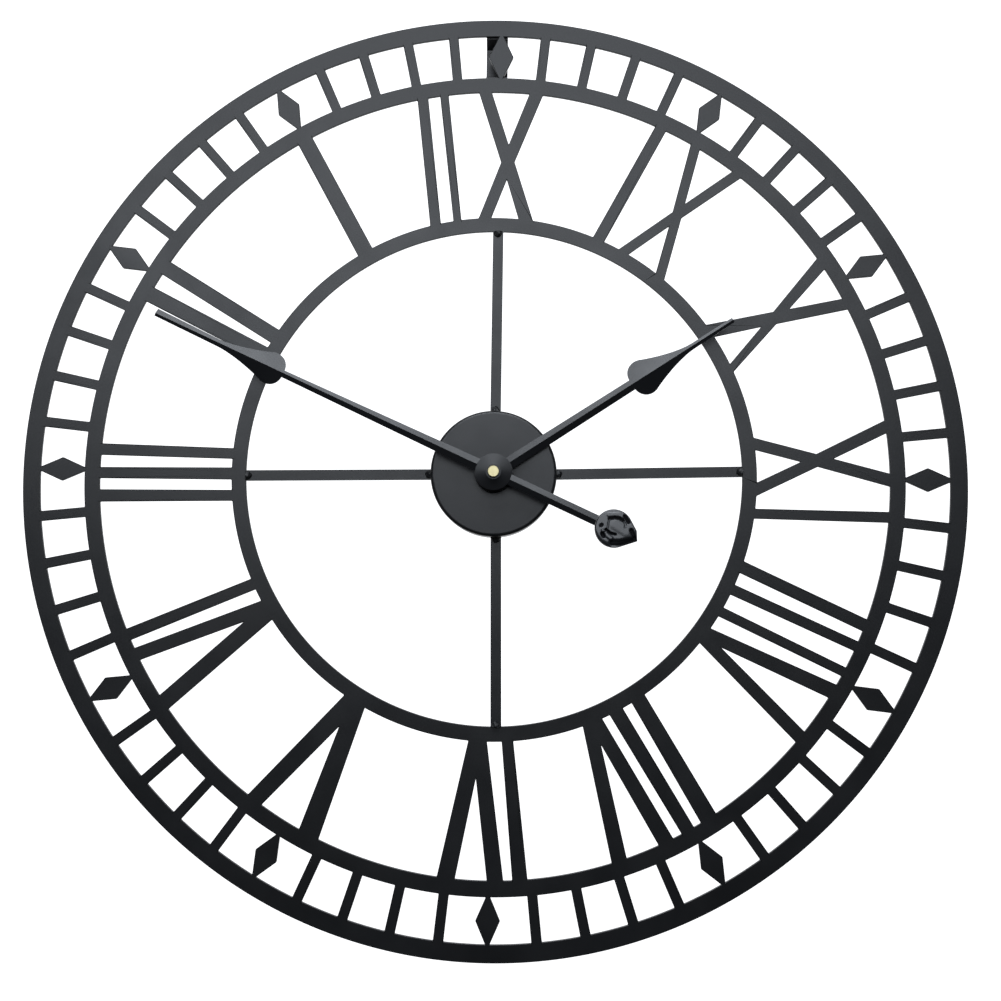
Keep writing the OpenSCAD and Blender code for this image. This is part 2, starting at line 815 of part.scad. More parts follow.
module hour_hand() {
  color(folded_black) on_wall() rotate(hour_angle) difference() {
    intersection() {
      folded_sheet(0, hour_l, hour_ridge);
      cut_out() hour_outline();
    }
    cylinder(r = hour_hub_r, h = nut_front);
  }
}

module minute_hub() {
  color(folded_black) on_wall()
    hub(shaft_r, nut_seat_r, minute_hub_r, minute_hub_back, minute_hub_rim, minute_hub_front);
}

// The long arm with its spade, and the tail behind the hub
module minute_hand() {
  color(folded_black) on_wall() rotate(minute_angle) difference() {
    intersection() {
      folded_sheet(-medallion_x, minute_l, minute_ridge);
      cut_out() {
        minute_outline();
        tail_outline();
      }
    }
    cylinder(r = minute_hub_r, h = nut_front);
    translate([-medallion_x, 0, 0]) cylinder(r = medallion_r, h = nut_front);
  }
}

medallion_back = 36.4;
medallion_front = 39;
medallion_relief = 1;

// A round whose point is cut off aslant, drawn size times as large
module pointed_round(size) {
  lean = 49;
  slant = [medallion_point - 3, 4.9];
  scale(size) {
    circle(medallion_r);
    polygon([[0, 0], polar(medallion_r, -lean), [medallion_point, -1], slant, polar(medallion_r, lean)]);
  }
}

// A cast plate with a raised rim, a hooked scroll and a boss inside the scroll
module tail_medallion() {
  lap = 0.2;
  color(folded_black) on_wall() rotate(minute_angle + 180) translate([medallion_x, 0, 0]) {
    slab(medallion_back, medallion_front - medallion_back) pointed_round(1);
    slab(medallion_front - lap, medallion_relief + lap) difference() {
      pointed_round(1);
      pointed_round(0.8);
    }
    slab(medallion_front - lap, medallion_relief + lap) translate([-1, -1]) difference() {
      band(7, 5);
      polygon([[0, 0], [8, -9], [8, 3]]);
    }
    slab(medallion_front - lap, medallion_relief + lap) translate([2, 1]) circle(2.6);
  }
}

// A round nut with a closed front
module hand_nut() {
  edge = 0.3;
  color(brass) on_wall()
    turned([
      [thread_r, minute_hub_front], [nut_r, minute_hub_front], [nut_r, nut_front - edge],
      [nut_r - edge, nut_front], [0, nut_front], [0, nut_front - nut_cap], [thread_r, nut_front - nut_cap],
    ]);
}

outer_ring();
minute_bars();
hour_diamonds();
minute_track_ring();
numeral(strokes_xii, 0);  // numeral_xii
numeral(strokes_xi, 1);  // numeral_xi
numeral(strokes_x, 2);  // numeral_x
numeral(strokes_ix, 3);  // numeral_ix
numeral(strokes_viii, 4);  // numeral_viii
numeral(strokes_vii, 5);  // numeral_vii
numeral(strokes_vi, 6);  // numeral_vi
numeral(strokes_v, 7);  // numeral_v
numeral(strokes_iv, 8);  // numeral_iv
numeral(strokes_iii, 9);  // numeral_iii
numeral(strokes_ii, 10);  // numeral_ii
numeral(strokes_i, 11);  // numeral_i
inner_ring();
spokes();
weld_beads();
centre_cup();
hanger_plate();
movement_case();
back_cover();
middle_plate();
threaded_bushing();
rubber_washer();
hex_nut();
hour_wheel();
minute_shaft();
minute_wheel();
setting_knob();
centre_wheel();
third_wheel();
second_wheel();
fifth_wheel();
rotor();
rotor_magnet();
stator();
coil_core();
coil_bobbin();
coil_winding();
circuit_board();
driver_chip();
quartz_crystal();
battery();
battery_contact_plus();
battery_contact_minus();
hour_hub();
hour_hand();
minute_hub();
minute_hand();
tail_medallion();
hand_nut();
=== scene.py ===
"""Looks for the skeleton wall clock.

One bevelled steel sheet, weld beads, the hand's medallion, the battery, the back cover's marks, materials,
light and camera. Everything is in metres in the CAD frame: +X right, +Z up, and the room is towards -Y.
"""
import json
import math

import bmesh
import bpy
from mathutils import Matrix, Vector, noise


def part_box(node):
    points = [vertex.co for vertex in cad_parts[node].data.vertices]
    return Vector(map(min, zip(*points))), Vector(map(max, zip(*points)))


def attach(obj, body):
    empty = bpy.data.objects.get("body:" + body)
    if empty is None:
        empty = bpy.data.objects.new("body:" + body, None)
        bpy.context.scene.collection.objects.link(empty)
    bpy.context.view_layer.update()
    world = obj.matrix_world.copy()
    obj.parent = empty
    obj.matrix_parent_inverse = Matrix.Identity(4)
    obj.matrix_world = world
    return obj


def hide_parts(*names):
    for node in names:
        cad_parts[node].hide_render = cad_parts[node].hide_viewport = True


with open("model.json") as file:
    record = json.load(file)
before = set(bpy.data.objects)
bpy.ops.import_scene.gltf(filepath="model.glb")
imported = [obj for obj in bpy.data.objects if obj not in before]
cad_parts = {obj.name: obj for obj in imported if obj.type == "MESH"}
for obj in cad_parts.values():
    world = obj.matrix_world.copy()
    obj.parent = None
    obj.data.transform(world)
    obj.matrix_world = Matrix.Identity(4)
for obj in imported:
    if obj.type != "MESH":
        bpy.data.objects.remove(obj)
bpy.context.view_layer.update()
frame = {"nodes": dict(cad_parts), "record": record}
MM = 0.001
SAME_POINT = 0.002 * MM     # points closer than this are one point


# ---------------------------------------------------------------- places taken from the frame

def centre_of(node):
    low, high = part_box(node)
    return (low + high) / 2


axis = centre_of("centre_cup")
face_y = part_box("outer_ring")[0].y
back_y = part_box("outer_ring")[1].y


def radius_of(point):
    """Distance of a point from the hand axis."""
    return math.hypot(point.x - axis.x, point.z - axis.z)


def ring_radii(node):
    """Inside and outside radius of a flat ring."""
    radii = [radius_of(v.co) for v in frame["nodes"][node].data.vertices]
    return min(radii), max(radii)


def on_dial(angle, radius, y):
    """A point at an angle in degrees, anticlockwise from three o'clock, around the hand axis."""
    turn = math.radians(angle)
    return Vector((axis.x + radius * math.cos(turn), y, axis.z + radius * math.sin(turn)))


# ---------------------------------------------------------------- materials

class Material:
    """A node-based material, built up one step at a time."""

    def __init__(self, name, color, roughness, metallic=0.0):
        self.material = bpy.data.materials.new(name)
        self.material.use_nodes = True
        self.tree = self.material.node_tree
        self.shader = self.tree.nodes["Principled BSDF"]
        self.shader.inputs["Metallic"].default_value = metallic
        self.shader.inputs["Roughness"].default_value = roughness
        self.color = color
        self.roughness = roughness
        self.where = self.add("ShaderNodeTexCoord").outputs["Object"]

    def add(self, kind, **settings):
        node = self.tree.nodes.new(kind)
        for name, value in settings.items():
            setattr(node, name, value)
        return node

    def link(self, start, end):
        self.tree.links.new(start, end)

    def fix(self, **values):
        """Sets shader inputs that stay constant, by their names with _ for a space."""
        for name, value in values.items():
            self.shader.inputs[name.replace("_", " ")].default_value = value
        return self

    def noise(self, size, detail=3.0, stretch=(1, 1, 1)):
        """Noise whose blotches are about size metres across."""
        mapping = self.add("ShaderNodeMapping")
        mapping.inputs["Scale"].default_value = stretch
        self.link(self.where, mapping.inputs["Vector"])
        texture = self.add("ShaderNodeTexNoise")
        texture.inputs["Scale"].default_value = 1 / size
        texture.inputs["Detail"].default_value = detail
        self.link(mapping.outputs["Vector"], texture.inputs["Vector"])
        return texture.outputs["Fac"]

    def vary_color(self, fac, amount, tint=(1, 1, 1)):
        """Runs the colour from darker to lighter by amount, and towards tint where it is lighter."""
        ramp = self.add("ShaderNodeValToRGB")
        low, high = ramp.color_ramp.elements
        low.position, high.position = 0.3, 0.7
        low.color = (*[c * (1 - amount) for c in self.color], 1)
        high.color = (*[c * (1 + amount) * t for c, t in zip(self.color, tint)], 1)
        self.link(fac, ramp.inputs["Fac"])
        self.link(ramp.outputs["Color"], self.shader.inputs["Base Color"])
        return self

    def vary_roughness(self, fac, amount):
        spread = self.add("ShaderNodeMapRange")
        spread.inputs["From Min"].default_value = 0.3
        spread.inputs["From Max"].default_value = 0.7
        spread.inputs["To Min"].default_value = self.roughness - amount
        spread.inputs["To Max"].default_value = self.roughness + amount
        self.link(fac, spread.inputs["Value"])
        self.link(spread.outputs["Result"], self.shader.inputs["Roughness"])
        return self

    def bumps(self, fac, height, strength=1.0):
        """Height in metres between the lowest and highest places of the texture."""
        bump = self.add("ShaderNodeBump")
        bump.inputs["Distance"].default_value = height
        bump.inputs["Strength"].default_value = strength
        self.link(fac, bump.inputs["Height"])
        if self.shader.inputs["Normal"].is_linked:
            self.link(self.shader.inputs["Normal"].links[0].from_socket, bump.inputs["Normal"])
        self.link(bump.outputs["Normal"], self.shader.inputs["Normal"])
        return self


def powder_coat(name, color, roughness, specular=0.5):
    """Satin powder coat: fine orange peel over slow changes of sheen."""
    coat = Material(name, color, roughness)
    coat.vary_color(coat.noise(60 * MM), 0.10, tint=(0.98, 1.0, 1.04))
    coat.vary_roughness(coat.noise(25 * MM), 0.04)
    coat.bumps(coat.noise(9 * MM, detail=1), 0.02 * MM)
    coat.bumps(coat.noise(1.1 * MM, detail=2), 0.012 * MM)
    return coat.fix(Specular_IOR_Level=specular).material


def plastic(name, color, roughness):
    """Moulded plastic with a fine spark-eroded grain."""
    skin = Material(name, color, roughness)
    skin.vary_color(skin.noise(12 * MM), 0.06)
    skin.vary_roughness(skin.noise(4 * MM), 0.05)
    skin.bumps(skin.noise(0.35 * MM, detail=2), 0.01 * MM)
    return skin.fix(IOR=1.49).material


def metal(name, color, roughness, stretch=(1, 1, 1), grain=0.25 * MM):
    """Bare metal with tool marks drawn out across the stretched axis."""
    bare = Material(name, color, roughness, metallic=1.0)
    bare.vary_color(bare.noise(3 * MM), 0.06)
    bare.vary_roughness(bare.noise(1.5 * MM), 0.06)
    bare.bumps(bare.noise(grain, detail=3, stretch=stretch), 0.006 * MM)
    return bare.material


def wound_wire(name, color):
    """Fine enamelled wire, wound across X."""
    wire = Material(name, color, 0.3, metallic=1.0)
    wave = wire.add("ShaderNodeTexWave", bands_direction="X")
    wave.inputs["Scale"].default_value = 1 / (1.2 * MM)
    wire.link(wire.where, wave.inputs["Vector"])
    wire.vary_color(wire.noise(0.6 * MM), 0.2)
    wire.bumps(wave.outputs["Fac"], 0.04 * MM)
    return wire.material


def solder_mask(name, color):
    """A circuit board's lacquer, with square tracks showing through it."""
    board = Material(name, color, 0.35)
    tracks = board.add("ShaderNodeTexVoronoi", feature="DISTANCE_TO_EDGE", distance="MANHATTAN")
    tracks.inputs["Scale"].default_value = 1 / (2.5 * MM)
    board.link(board.where, tracks.inputs["Vector"])
    board.vary_color(board.noise(2 * MM), 0.25)
    board.bumps(tracks.outputs["Distance"], 0.05 * MM)
    return board.material


dial_black = powder_coat("dial_powder_coat", (0.0085, 0.0089, 0.0098), 0.36)
hand_black = powder_coat("hand_paint", (0.0090, 0.0095, 0.0108), 0.34)
# The medallion's paint is lighter and shinier than the hand's: painted sheen, standing in for the light its
# upper slopes would catch.
painted_sheen_black = powder_coat("painted_sheen_paint", (0.020, 0.021, 0.023), 0.38, specular=0.85)
# Near-black, dull painted shade for the bottoms of the medallion's deep grooves.
painted_shade_black = powder_coat("painted_groove_shade", (0.003, 0.003, 0.004), 0.7, specular=0.12)
weld_black = powder_coat("weld_powder_coat", (0.009, 0.0095, 0.0105), 0.5)
brass = metal("turned_brass", (0.74, 0.66, 0.38), 0.46)
steel = metal("bright_steel", (0.62, 0.63, 0.64), 0.28, stretch=(8, 1, 1))
black_plastic = plastic("black_plastic", (0.022, 0.022, 0.025), 0.5)
white_plastic = plastic("white_plastic", (0.58, 0.57, 0.53), 0.42)
battery_film = plastic("battery_film", (0.020, 0.020, 0.022), 0.22)
battery_band = metal("battery_band", (0.60, 0.37, 0.16), 0.32, grain=2 * MM)
black_rubber = plastic("black_rubber", (0.015, 0.015, 0.015), 0.8)
magnet = metal("sintered_magnet", (0.20, 0.20, 0.21), 0.5)
copper = wound_wire("copper_wire", (0.72, 0.30, 0.14))
board_green = solder_mask("solder_mask", (0.03, 0.16, 0.07))

SLOT_MATERIALS = {
    "satin_black_steel": dial_black,
    "folded_black_steel": hand_black,
    "black_plastic": black_plastic,
    "white_plastic": white_plastic,
    "brass": brass,
    "bright_steel": steel,
    "magnet": magnet,
    "copper_wire": copper,
    "circuit_board": board_green,
    "rubber": black_rubber,
    "battery_jacket": black_plastic,
}


def dress(obj, material):
    obj.data.materials.clear()
    obj.data.materials.append(material)


def dress_cad_nodes():
    for part in frame["record"]["subparts"]:
        dress(frame["nodes"][part["node"]], SLOT_MATERIALS[part["material_slot"]])


dress_cad_nodes()


# ---------------------------------------------------------------- mesh helpers

def new_piece(name, bm, material, smooth=False):
    """Makes an object from a bmesh and frees it."""
    mesh = bpy.data.meshes.new(name)
    bm.normal_update()
    bm.to_mesh(mesh)
    bm.free()
    obj = bpy.data.objects.new(name, mesh)
    bpy.context.scene.collection.objects.link(obj)
    dress(obj, material)
    if smooth:
        mesh.shade_smooth()
    return obj


def bevel(obj, width, segments=2, angle=35):
    """Rounds the sharp edges of a piece or of a CAD node, and shades it smooth."""
    modifier = obj.modifiers.new("round_edges", "BEVEL")
    modifier.width = width
    modifier.segments = segments
    modifier.limit_method = "ANGLE"
    modifier.angle_limit = math.radians(angle)
    modifier.harden_normals = True
    modifier.use_clamp_overlap = False


def revolve(profile, steps, place):
    """A bmesh swept around an axis. place(radius, along, angle) gives each point."""
    bm = bmesh.new()
    rings = []
    for i in range(steps):
        angle = 2 * math.pi * i / steps
        rings.append([bm.verts.new(place(r, along, angle)) for r, along in profile])
    for i, ring in enumerate(rings):
        following = rings[(i + 1) % steps]
        for k in range(len(profile) - 1):
            bm.faces.new((ring[k], ring[k + 1], following[k + 1], following[k]))
    bmesh.ops.remove_doubles(bm, verts=bm.verts, dist=SAME_POINT)
    bmesh.ops.recalc_face_normals(bm, faces=bm.faces)
    return bm


# ---------------------------------------------------------------- the dial, as one sheet

RING_STEPS = 360
OVERLAP = 2 * MM        # how far each stroke, bar and diamond reaches into its ring
AT_RING = 0.3 * MM      # a point this close to a ring's edge belongs to an end that touches it
EDGE_ROUND = 0.35 * MM

RINGS = ("outer_ring", "minute_track_ring", "inner_ring")
MARKS = [n for n in frame["nodes"] if n.startswith("numeral_")] + ["minute_bars", "hour_diamonds"]


def flat_ring(r_in, r_out):
    """A washer between the sheet's two faces."""
    profile = [(r_in, face_y), (r_out, face_y), (r_out, back_y), (r_in, back_y), (r_in, face_y)]
    return revolve(profile, RING_STEPS, lambda r, y, a: on_dial(math.degrees(a), r, y))


def add_mesh(bm, source):
    """Adds a bmesh to another one and frees it."""
    mesh = bpy.data.meshes.new("part")
    source.to_mesh(mesh)
    source.free()
    bm.from_mesh(mesh)
    bpy.data.meshes.remove(mesh)


def marks_reaching_into_rings(ring_edges):
    """Copies of the strokes, bars and diamonds, with each end moved a little way into its ring."""
    bm = bmesh.new()
    for name in MARKS:
        bm.from_mesh(frame["nodes"][name].data)
    bmesh.ops.remove_doubles(bm, verts=bm.verts, dist=SAME_POINT)
    for v in bm.verts:
        r = radius_of(v.co)
        for edge, way in ring_edges:
            if abs(r - edge) < AT_RING:
                grow = (r + way * OVERLAP) / r
                v.co.x = axis.x + (v.co.x - axis.x) * grow
                v.co.z = axis.z + (v.co.z - axis.z) * grow
    return bm


def dial_sheet():
    """All the rings, strokes, bars and diamonds joined into one sheet with rounded edges."""
    radii = {name: ring_radii(name) for name in RINGS}
    rings = bmesh.new()
    for r_in, r_out in radii.values():
        add_mesh(rings, flat_ring(r_in, r_out))
    ring_edges = (
        (radii["inner_ring"][1], -1), (radii["minute_track_ring"][0], 1),
        (radii["minute_track_ring"][1], -1), (radii["outer_ring"][0], 1),
    )
    sheet = new_piece("dial_sheet", rings, dial_black)
    marks = new_piece("marks", marks_reaching_into_rings(ring_edges), dial_black)
    join = sheet.modifiers.new("join", "BOOLEAN")
    join.operation = "UNION"
    join.solver = "EXACT"
    join.object = marks
    evaluated = sheet.evaluated_get(bpy.context.evaluated_depsgraph_get())
    joined = bpy.data.meshes.new_from_object(evaluated)
    sheet.modifiers.clear()
    sheet.data = joined
    bpy.data.objects.remove(marks)
    bevel(sheet, EDGE_ROUND)
    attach(sheet, "clock_frame")
    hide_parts(*RINGS, *MARKS)


dial_sheet()


# ---------------------------------------------------------------- welds

def islands(node):
    """The corner points of each separate solid in a node."""
    bm = bmesh.new()
    bm.from_mesh(frame["nodes"][node].data)
    bmesh.ops.remove_doubles(bm, verts=bm.verts, dist=SAME_POINT)
    seen = set()
    found = []
    for start in bm.verts:
        if start in seen:
            continue
        seen.add(start)
        group = []
        newly_reached = [start]
        while newly_reached:
            v = newly_reached.pop()
            group.append(v.co.copy())
            for e in v.link_edges:
                other = e.other_vert(v)
                if other not in seen:
                    seen.add(other)
                    newly_reached.append(other)
        found.append(group)
    bm.free()
    return found


# How far a bead goes into the wall and the floor it is welded to, as parts of its reach and its height
BEAD_SUNK_IN_WALL = -0.05
BEAD_SUNK_IN_FLOOR = -0.12


def weld_blob(corners, seed):
    """A rough bead over one wedge of the CAD: highest at the wall it is welded to."""
    middle = sum(corners, Vector()) / len(corners)
    quarter = round(math.atan2(middle.z - axis.z, middle.x - axis.x) / (math.pi / 2)) * 90
    out = on_dial(quarter, 1, 0) - on_dial(quarter, 0, 0)
    across = Vector((-out.z, 0, out.x))
    forwards = Vector((0, -1, 0))
    along = [(c - axis).dot(out) for c in corners]
    sideways = [(c - axis).dot(across) for c in corners]
    heights = [(c - axis).dot(forwards) for c in corners]
    tall = [a for a, h in zip(along, heights) if h > max(heights) - 0.1 * MM]
    at_wall = sum(tall) / len(tall)
    reach = max(along) + min(along) - 2 * at_wall
    half_width = (max(sideways) - min(sideways)) / 2
    height = max(heights) - min(heights)
    base = axis + out * at_wall + across * (max(sideways) + min(sideways)) / 2 + forwards * min(heights)

    bm = bmesh.new()
    bmesh.ops.create_icosphere(bm, subdivisions=4, radius=1)
    for v in bm.verts:
        swelling = noise.noise(v.co * 1.9 + Vector((seed, 0, 0))) * 0.22
        ripple = noise.noise(v.co * 5 + Vector((0, seed, 0))) * 0.06
        x, y, z = v.co * (1 + (swelling + ripple))
        x = max(x, BEAD_SUNK_IN_WALL)
        z = max(z, BEAD_SUNK_IN_FLOOR)
        v.co = base + out * x * reach + across * y * half_width + forwards * z * height
    bmesh.ops.recalc_face_normals(bm, faces=bm.faces)
    return bm


def weld_beads():
    """The beads at both ends of the four spokes."""
    beads = bmesh.new()
    for i, corners in enumerate(islands("weld_beads")):
        add_mesh(beads, weld_blob(corners, 7.3 * i))
    piece = new_piece("weld_seams", beads, weld_black, smooth=True)
    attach(piece, "clock_frame")
    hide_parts("weld_beads")


weld_beads()


# ---------------------------------------------------------------- medallion on the minute hand's tail

def tail_frame():
    """The middle of the medallion's back, the directions along and across the tail, half its width and
    its thickness."""
    points = [v.co for v in frame["nodes"]["minute_hand"].data.vertices]
    crease_y = min(p.y for p in points)
    tip = max((p for p in points if p.y < crease_y + 0.02 * MM), key=radius_of)
    along = Vector((axis.x - tip.x, 0, axis.z - tip.z)).normalized()
    across = Vector((-along.z, 0, along.x))
    corners = [v.co for v in frame["nodes"]["tail_medallion"].data.vertices]
    half = max(abs((c - axis).dot(across)) for c in corners)
    near = min((c - axis).dot(along) for c in corners)
    back = max(c.y for c in corners)
    front = min(c.y for c in corners)
    middle = axis + along * (near + half)
    middle.y = back
    return middle, along, across, half, back - front


def distance_to_line(x, y, line):
    """The shortest distance from a point to a chain of points."""
    best = 1e9
    for (ax, ay), (bx, by) in zip(line, line[1:]):
        dx, dy = bx - ax, by - ay
        t = ((x - ax) * dx + (y - ay) * dy) / (dx * dx + dy * dy)
        t = min(max(t, 0), 1)
        best = min(best, math.hypot(x - ax - t * dx, y - ay - t * dy))
    return best


# The medallion's shape in millimetres, x along the tail and y across it: a round up to MEDALLION_SHOULDER
# on both sides of the tail's direction, and a tip with two corners.
MEDALLION_SHOULDER = math.radians(49)
MEDALLION_TIP = [(13.4, 4.8), (16.4, -1)]
MEDALLION_FIT = 0.995       # its round, as a part of the CAD's round
MEDALLION_RIM = 0.5         # height of its edge
MEDALLION_FACE = 0.62       # height of its plain face, as a part of the thickness
MEDALLION_LEAN = 0.1        # how much the face leans back towards its top
RIM_ROUND = 1.1             # width of the rounding along the upper edge
LOWER_RIM_ROUND = 3.6       # how much wider the rounding is at the lowest place
GROOVE_FADE = 1.2           # grooves and ridges run out over this width next to the edge
MEDALLION_FLOOR = 0.4       # no groove is cut lower than this

# Its grooves and ridges, each [points, half width, height]. The bottoms of grooves deeper than
# PAINTED_SHADE_DEPTH get near-black painted shade.
PAINTED_SHADE_DEPTH = 0.8
MEDALLION_RELIEF = [
    [[(3.4, 6.8), (0.5, 7.1), (-2.4, 6.3), (-5, 4.4)], 0.8, -1.9],
    [[(-5, 4.4), (-4.6, 1.6), (-3.6, -1.6)], 0.45, -0.6],
    [[(-4.2, -2.6), (-1, -3.5), (2.2, -3.0)], 0.65, -1.8],
    [[(3.4, 6.8), (5.4, 5.2), (5.8, 3.4)], 0.5, -0.6],
    [[(3.2, 9.6), (6.4, 7.5)], 1.0, -1.8],
    [[(10.2, 3.4), (13.0, 1.0), (14.6, -0.8)], 1.1, -1.5],
    [[(2.8, -8.6), (6.6, -6.9), (10.8, -3.8), (14.2, -1.4)], 1.9, -1.3],
    [[(-5.2, -5.9), (-3.9, -7.0)], 1.0, -1.7],
    [[(-8.0, -1.8), (-7.7, -1.2)], 0.9, -0.9],
    [[(-5.9, -3.9), (-5.3, -4.3)], 0.9, 0.6],
    [[(-2.6, -5.6), (0.8, -6.3)], 1.2, 0.7],
    [[(-0.5, 2.4), (3, 2), (7.5, 1.4)], 2.8, 0.35],
    [[(-6.5, 6.5), (-1, 9.2), (2.2, 9)], 1.2, 0.3],
]


def medallion_outline(r):
    """The edge, from the upper shoulder over the tip and the lower shoulder, and around the back."""
    steps = 60
    sweep = 2 * math.pi - 2 * MEDALLION_SHOULDER
    turns = [-MEDALLION_SHOULDER - sweep * i / steps for i in range(steps + 1)]
    upper_shoulder = (r * math.cos(MEDALLION_SHOULDER), r * math.sin(MEDALLION_SHOULDER))
    return [upper_shoulder, *MEDALLION_TIP] + [(r * math.cos(a), r * math.sin(a)) for a in turns]


def edge_point(outline, angle):
    """Where a line from the middle meets the outline."""
    dx, dy = math.cos(angle), math.sin(angle)
    far = 0
    for (ax, ay), (bx, by) in zip(outline, outline[1:]):
        ex, ey = bx - ax, by - ay
        det = dx * ey - dy * ex
        if abs(det) < 1e-9:
            continue
        t = (ax * ey - ay * ex) / det
        s = (ax * dy - ay * dx) / det
        if t > 0 and -1e-6 <= s <= 1 + 1e-6:
            far = max(far, t)
    return far * dx, far * dy


def in_painted_shade_groove(x, y):
    """Whether a point is in the bottom of one of the deep grooves, which get painted shade."""
    for line, half_width, rise in MEDALLION_RELIEF:
        if rise < -PAINTED_SHADE_DEPTH and distance_to_line(x, y, line) < 0.85 * half_width:
            return True
    return False


def medallion_relief():
    """A cast plate whose face is a height field over its outline, on a flat back."""
    middle, along, across, half, thickness = tail_frame()
    r = half / MM * MEDALLION_FIT
    full = thickness / MM
    outline = medallion_outline(r)
    turns = 220
    rings = 72

    def height(x, y):
        edge = distance_to_line(x, y, outline)
        upwards = x * along.z + y * across.z
        round_off = min(edge / (RIM_ROUND + LOWER_RIM_ROUND * max(-upwards / r, 0)), 1)
        face = MEDALLION_FACE * full - MEDALLION_LEAN * upwards
        z = MEDALLION_RIM + (face - MEDALLION_RIM) * math.sqrt(1 - (1 - round_off) ** 2)
        for line, half_width, rise in MEDALLION_RELIEF:
            d = distance_to_line(x, y, line) / half_width
            z += rise * math.exp(-d ** 4 / 1.5) * min(edge / GROOVE_FADE, 1)
        return min(max(z, MEDALLION_FLOOR), full - 0.05)

    def place(x, y, z):
        return middle + along * x * MM + across * y * MM + Vector((0, -z * MM, 0))

    bm = bmesh.new()
    centre = bm.verts.new(place(0, 0, height(0, 0)))
    fans = []
    for i in range(turns):
        ex, ey = edge_point(outline, 2 * math.pi * i / turns)
        fan = []
        for k in range(1, rings + 1):
            t = k / rings
            fan.append(bm.verts.new(place(ex * t, ey * t, height(ex * t, ey * t))))
        fan.append(bm.verts.new(place(ex, ey, 0.15)))
        fan.append(bm.verts.new(place(ex * 0.985, ey * 0.985, 0)))
        fans.append(fan)
    back = bm.verts.new(place(0, 0, 0))
    for i, fan in enumerate(fans):
        following = fans[(i + 1) % turns]
        bm.faces.new((centre, fan[0], following[0]))
        bm.faces.new((back, following[-1], fan[-1]))
        for k in range(len(fan) - 1):
            bm.faces.new((fan[k], fan[k + 1], following[k + 1], following[k]))
    bmesh.ops.recalc_face_normals(bm, faces=bm.faces)

    # The medallion wears the lighter painted-sheen paint.
    piece = new_piece("medallion_relief", bm, painted_sheen_black, smooth=True)
    # Faces at the bottom of the deep grooves get the near-black painted shade.
    piece.data.materials.append(painted_shade_black)
    for face in piece.data.polygons:
        spot = (face.center - middle) / MM
        on_the_front = -spot.y > 0.3
        if on_the_front and in_painted_shade_groove(spot.dot(along), spot.dot(across)):
            face.material_index = 1
    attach(piece, "minute_hand_set")
    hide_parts("tail_medallion")


medallion_relief()


# ---------------------------------------------------------------- battery and back cover

def battery_cell():
    """A shrink-wrapped cell: steel ends, a dark film crimped over both shoulders, and a bright band."""
    low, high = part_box("battery")
    middle = (low + high) / 2
    r = (high.z - low.z) / 2
    nub_r = 0.38 * r
    minus = low.x
    plus = high.x
    shoulder = plus - 1 * MM
    cap = shoulder - 0.4 * MM
    groove = minus + 0.35 * MM
    band_start = shoulder - 13 * MM
    profile = [
        (0, minus + 0.1 * MM), (0.76 * r, minus + 0.1 * MM), (0.8 * r, groove),
        (0.85 * r, groove), (0.92 * r, minus), (0.98 * r, minus + 0.2 * MM), (r, minus + 0.7 * MM),
        (r, band_start), (r, shoulder - 0.7 * MM), (0.98 * r, shoulder - 0.2 * MM), (0.92 * r, shoulder),
        (0.8 * r, shoulder - 0.05 * MM), (0.78 * r, cap), (0.42 * r, cap),
        (nub_r, shoulder), (nub_r, plus - 0.3 * MM), (0.34 * r, plus), (0, plus),
    ]

    def place(radius, x, angle):
        return Vector((x, middle.y + radius * math.cos(angle), middle.z + radius * math.sin(angle)))

    cell = new_piece("battery_cell", revolve(profile, 96, place), battery_film, smooth=True)
    cell.data.materials.append(battery_band)
    cell.data.materials.append(steel)
    bare_r = 0.82 * r
    for face in cell.data.polygons:
        spot = face.center
        reach = math.hypot(spot.y - middle.y, spot.z - middle.z)
        at_an_end = spot.x < minus + 1 * MM or spot.x > shoulder - 0.6 * MM
        if at_an_end and reach < bare_r:
            face.material_index = 2
        elif spot.x > band_start:
            face.material_index = 1
    cell.data.set_sharp_from_angle(angle=math.radians(30))
    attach(cell, "battery")
    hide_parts("battery")


def raised_shape(bm, outline, base_y, height):
    """Adds a flat raised shape to bm, whose outline is a list of (x, z) in order."""
    foot = [bm.verts.new((x, base_y - 0.05 * MM, z)) for x, z in outline]
    top = [bm.verts.new((x, base_y + height, z)) for x, z in outline]
    bm.faces.new(top)
    bm.faces.new(foot[::-1])
    for i in range(len(outline)):
        k = (i + 1) % len(outline)
        bm.faces.new((foot[i], foot[k], top[k], top[i]))


